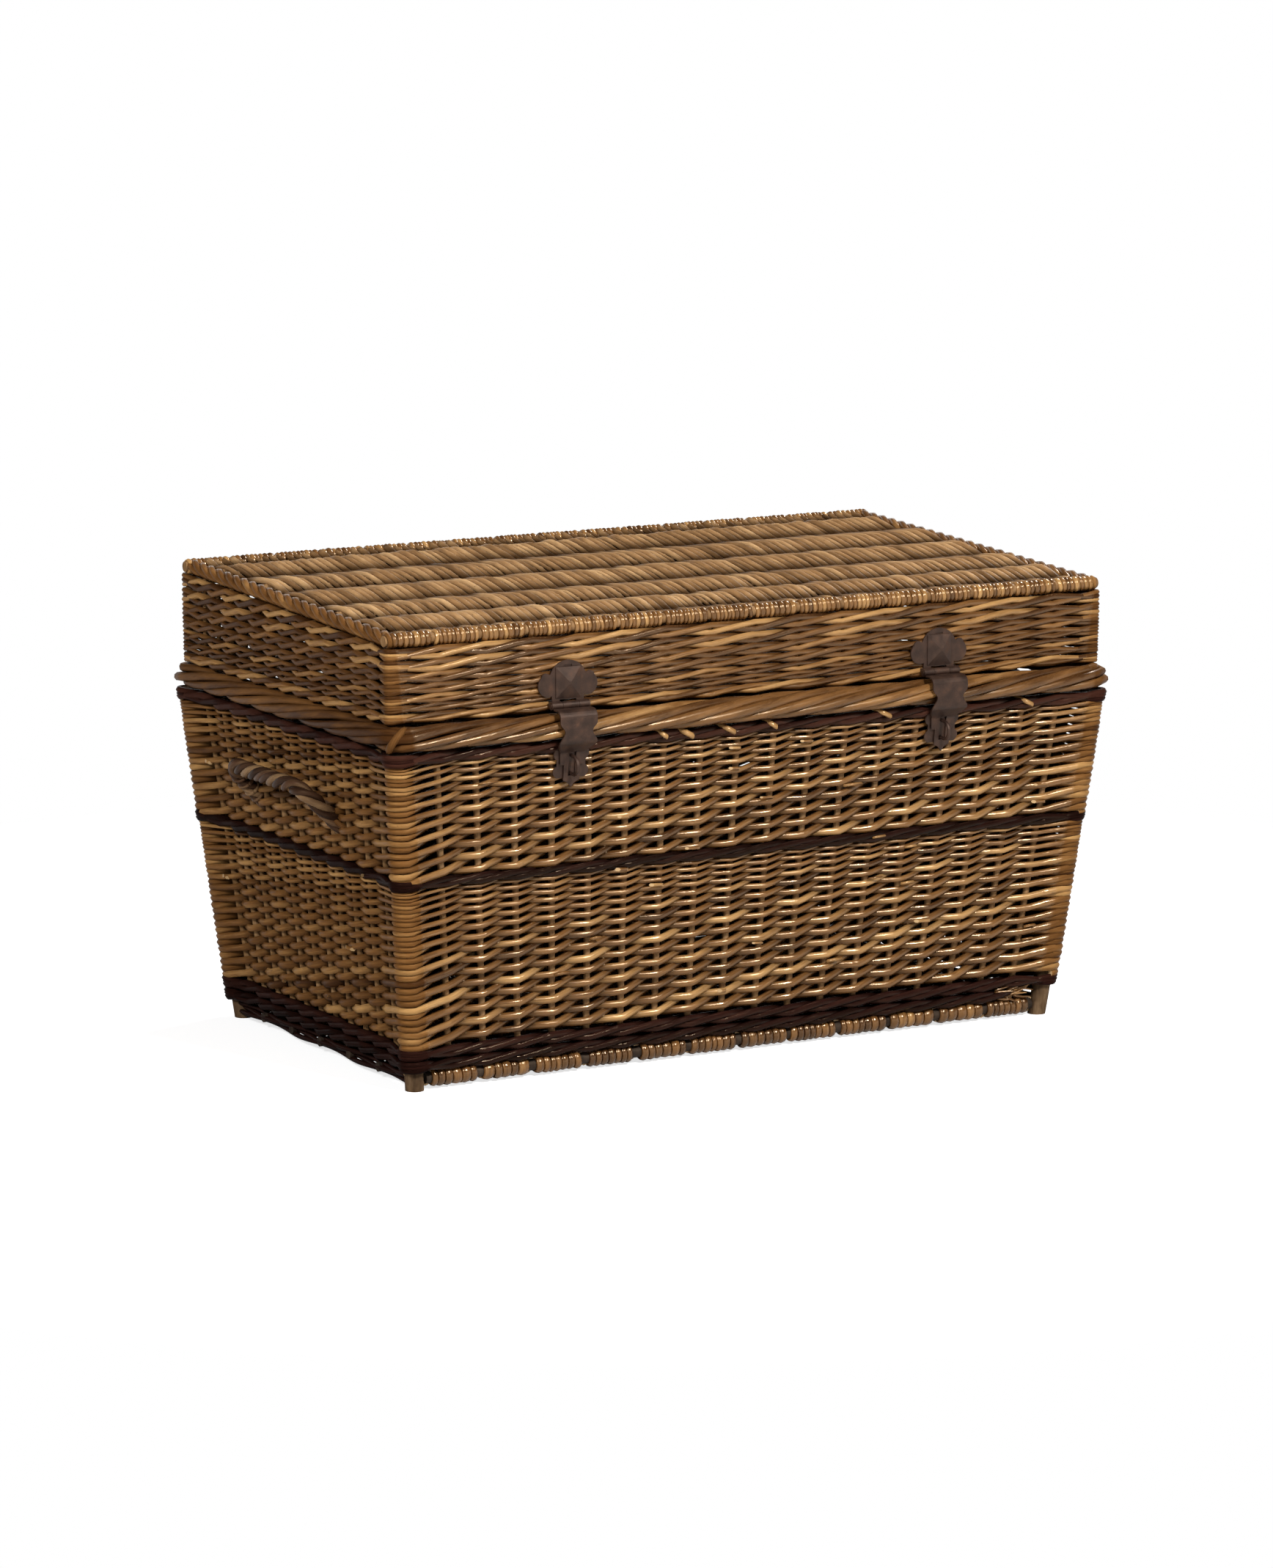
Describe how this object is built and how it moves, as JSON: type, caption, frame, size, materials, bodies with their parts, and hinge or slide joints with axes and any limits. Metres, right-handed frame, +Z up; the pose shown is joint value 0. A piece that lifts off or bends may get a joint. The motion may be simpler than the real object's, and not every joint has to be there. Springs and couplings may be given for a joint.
{
  "type": "laundry hamper with lid",
  "caption": "Woven willow laundry hamper shaped as a tapered chest, with a hinged lid, roped end handles and two iron hasps that drop over staples.",
  "frame": {"origin": "middle of the hamper on the floor, under the four feet", "axes": "+X along the front to the right, +Y to the back, where the hinges are, +Z up"},
  "size_m": [0.9834, 0.5808, 0.5386],
  "materials": {
    "brown_willow": "varnished buff willow, golden brown with darker and paler rods",
    "pale_willow": "weathered pale tan willow, satin",
    "dark_willow": "brown-black stained willow, glossy varnish",
    "handle_willow": "dark twisted willow with pale scuffed edges, glossy varnish",
    "post_willow": "thick round willow, varnished",
    "rusted_iron": "pressed sheet iron and wire under old dark brown paint, rusted at the edges"
  },
  "bodies": {
    "body": {"corner_posts": "post_willow", "corner_wraps": "brown_willow", "stakes_front": "pale_willow", "stakes_right": "pale_willow", "stakes_back": "pale_willow", "stakes_left": "pale_willow", "lower_weave_front": "brown_willow", "lower_weave_right": "brown_willow", "lower_weave_back": "brown_willow", "lower_weave_left": "brown_willow", "upper_weave_front": "brown_willow", "upper_weave_right": "brown_willow", "upper_weave_back": "brown_willow", "upper_weave_left": "brown_willow", "bottom_wale": "dark_willow", "middle_wale": "dark_willow", "top_wale": "dark_willow", "border_front": "brown_willow", "border_right": "brown_willow", "border_back": "brown_willow", "border_left": "brown_willow", "base_rails": "dark_willow", "base_rail_wraps": "brown_willow", "base_sticks": "dark_willow", "base_weave": "brown_willow", "handle_left": "handle_willow", "handle_right": "handle_willow", "staple_plates": "rusted_iron", "staples": "rusted_iron", "hinge_straps": "rusted_iron", "hinge_nails": "rusted_iron"},
    "lid": {"lid_rails": "pale_willow", "lid_rail_wraps": "pale_willow", "lid_sticks": "pale_willow", "lid_weave": "pale_willow", "lid_end_plaits": "brown_willow", "lid_wall_front": "brown_willow", "lid_wall_right": "brown_willow", "lid_wall_back": "brown_willow", "lid_wall_left": "brown_willow", "lid_posts": "post_willow", "lid_corner_wraps": "brown_willow", "lid_stakes": "pale_willow", "lid_edge": "brown_willow", "hasp_plates": "rusted_iron", "hasp_pins": "rusted_iron", "hinge_plates": "rusted_iron", "hinge_pins": "rusted_iron"},
    "hasp_left": {"hasp_left": "rusted_iron"},
    "hasp_right": {"hasp_right": "rusted_iron"}
  },
  "joints": [
    {"name": "lid_hinge", "type": "hinge", "parent": "body", "child": "lid", "pos_m": [0, 0.2685, 0.4245], "axis": [-1, 0, 0], "range_deg": [0, 100]},
    {"name": "hasp_left_hinge", "type": "hinge", "parent": "lid", "child": "hasp_left", "pos_m": [-0.24, -0.2685, 0.4245], "axis": [-1, 0, 0], "range_deg": [0, 90]},
    {"name": "hasp_right_hinge", "type": "hinge", "parent": "lid", "child": "hasp_right", "pos_m": [0.24, -0.2685, 0.4245], "axis": [-1, 0, 0], "range_deg": [0, 90]}
  ]
}
